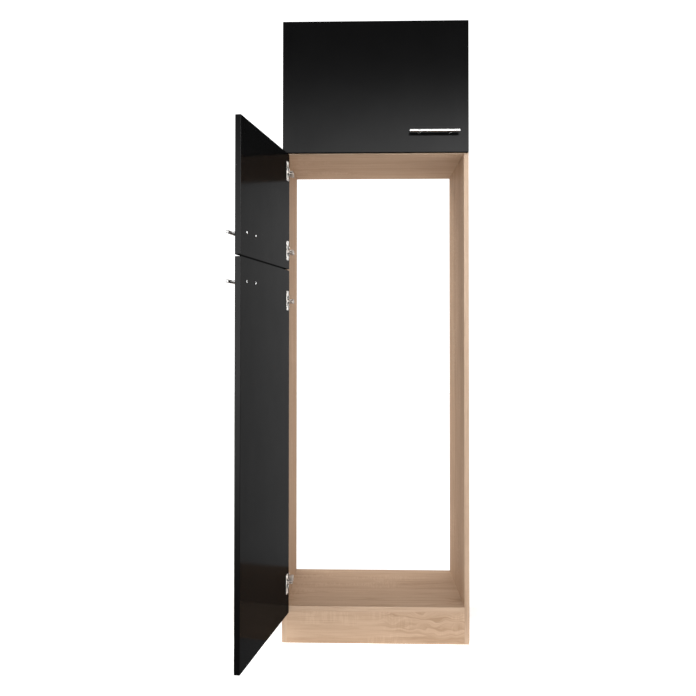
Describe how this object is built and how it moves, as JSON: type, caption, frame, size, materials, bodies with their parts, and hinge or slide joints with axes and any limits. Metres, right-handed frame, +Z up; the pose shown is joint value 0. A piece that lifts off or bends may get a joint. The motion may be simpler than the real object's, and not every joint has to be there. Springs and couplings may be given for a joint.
{
  "type": "fridge housing unit",
  "caption": "Tall kitchen housing for a built-in fridge-freezer: open niche, closed top compartment, plinth, and black fronts on concealed hinges with bar handles.",
  "frame": {"origin": "middle of the plinth board's underside, on the floor", "axes": "+X to the right seen from the front, +Y into the housing towards the wall, +Z up"},
  "size_m": [0.7096, 1.0974, 2],
  "materials": {
    "oak": "satin oak decor with a fine grain",
    "front": "black satin coated board",
    "backing": "thin coated fibreboard",
    "nickel": "nickel plated pressed steel",
    "steel": "fine brushed",
    "zinc": "bright zinc plated"
  },
  "bodies": {
    "carcass": {"left_side": "oak", "right_side": "oak", "top_board": "oak", "niche_top_board": "oak", "niche_floor_board": "oak", "plinth_board": "oak", "shelf": "oak", "compartment_back": "backing", "shelf_pin_front_left": "steel", "shelf_pin_front_right": "steel", "shelf_pin_back_left": "steel", "shelf_pin_back_right": "steel", "top_door_lower_hinge_plate": "nickel", "top_door_lower_hinge_arm": "nickel", "top_door_upper_hinge_plate": "nickel", "top_door_upper_hinge_arm": "nickel", "middle_door_lower_hinge_plate": "nickel", "middle_door_lower_hinge_arm": "nickel", "middle_door_upper_hinge_plate": "nickel", "middle_door_upper_hinge_arm": "nickel", "lower_door_lower_hinge_plate": "nickel", "lower_door_lower_hinge_arm": "nickel", "lower_door_upper_hinge_plate": "nickel", "lower_door_upper_hinge_arm": "nickel"},
    "top_door_links": {"top_door_lower_hinge_link": "nickel", "top_door_upper_hinge_link": "nickel"},
    "top_door": {"top_door": "front", "top_door_lower_hinge_cup": "nickel", "top_door_upper_hinge_cup": "nickel", "top_handle_bar": "steel", "top_handle_post_inner": "steel", "top_handle_screw_inner": "zinc", "top_handle_post_outer": "steel", "top_handle_screw_outer": "zinc"},
    "middle_door_links": {"middle_door_lower_hinge_link": "nickel", "middle_door_upper_hinge_link": "nickel"},
    "middle_door": {"middle_door": "front", "middle_door_lower_hinge_cup": "nickel", "middle_door_upper_hinge_cup": "nickel", "middle_handle_bar": "steel", "middle_handle_post_inner": "steel", "middle_handle_screw_inner": "zinc", "middle_handle_post_outer": "steel", "middle_handle_screw_outer": "zinc"},
    "lower_door_links": {"lower_door_lower_hinge_link": "nickel", "lower_door_upper_hinge_link": "nickel"},
    "lower_door": {"lower_door": "front", "lower_door_lower_hinge_cup": "nickel", "lower_door_upper_hinge_cup": "nickel", "lower_handle_bar": "steel", "lower_handle_post_inner": "steel", "lower_handle_screw_inner": "zinc", "lower_handle_post_outer": "steel", "lower_handle_screw_outer": "zinc"}
  },
  "joints": [
    {"name": "top_link_swing", "type": "hinge", "parent": "carcass", "child": "top_door_links", "pos_m": [-0.2696, -0.01126, 1.7865], "axis": [0, 0, 1], "range_deg": [0, 34.49]},
    {"name": "top_door_swing", "type": "hinge", "parent": "top_door_links", "child": "top_door", "pos_m": [-0.2885, -0.015, 1.7865], "axis": [0, 0, -1], "range_deg": [0, 144.49]},
    {"name": "middle_link_swing", "type": "hinge", "parent": "carcass", "child": "middle_door_links", "pos_m": [-0.2696, -0.01126, 1.3845], "axis": [0, 0, 1], "range_deg": [-30.86, 3.64]},
    {"name": "middle_door_swing", "type": "hinge", "parent": "middle_door_links", "child": "middle_door", "pos_m": [-0.28391, -0.02416, 1.3845], "axis": [0, 0, -1], "range_deg": [-129.25, 15.24]},
    {"name": "lower_link_swing", "type": "hinge", "parent": "carcass", "child": "lower_door_links", "pos_m": [-0.2696, -0.01126, 0.6465], "axis": [0, 0, 1], "range_deg": [-30.86, 3.64]},
    {"name": "lower_door_swing", "type": "hinge", "parent": "lower_door_links", "child": "lower_door", "pos_m": [-0.28391, -0.02416, 0.6465], "axis": [0, 0, -1], "range_deg": [-129.25, 15.24]}
  ],
  "couplings": [
    {"joint": "top_link_swing", "follows": "top_door_swing", "ratio": 0.23868},
    {"joint": "middle_link_swing", "follows": "middle_door_swing", "ratio": 0.23868},
    {"joint": "lower_link_swing", "follows": "lower_door_swing", "ratio": 0.23868}
  ]
}
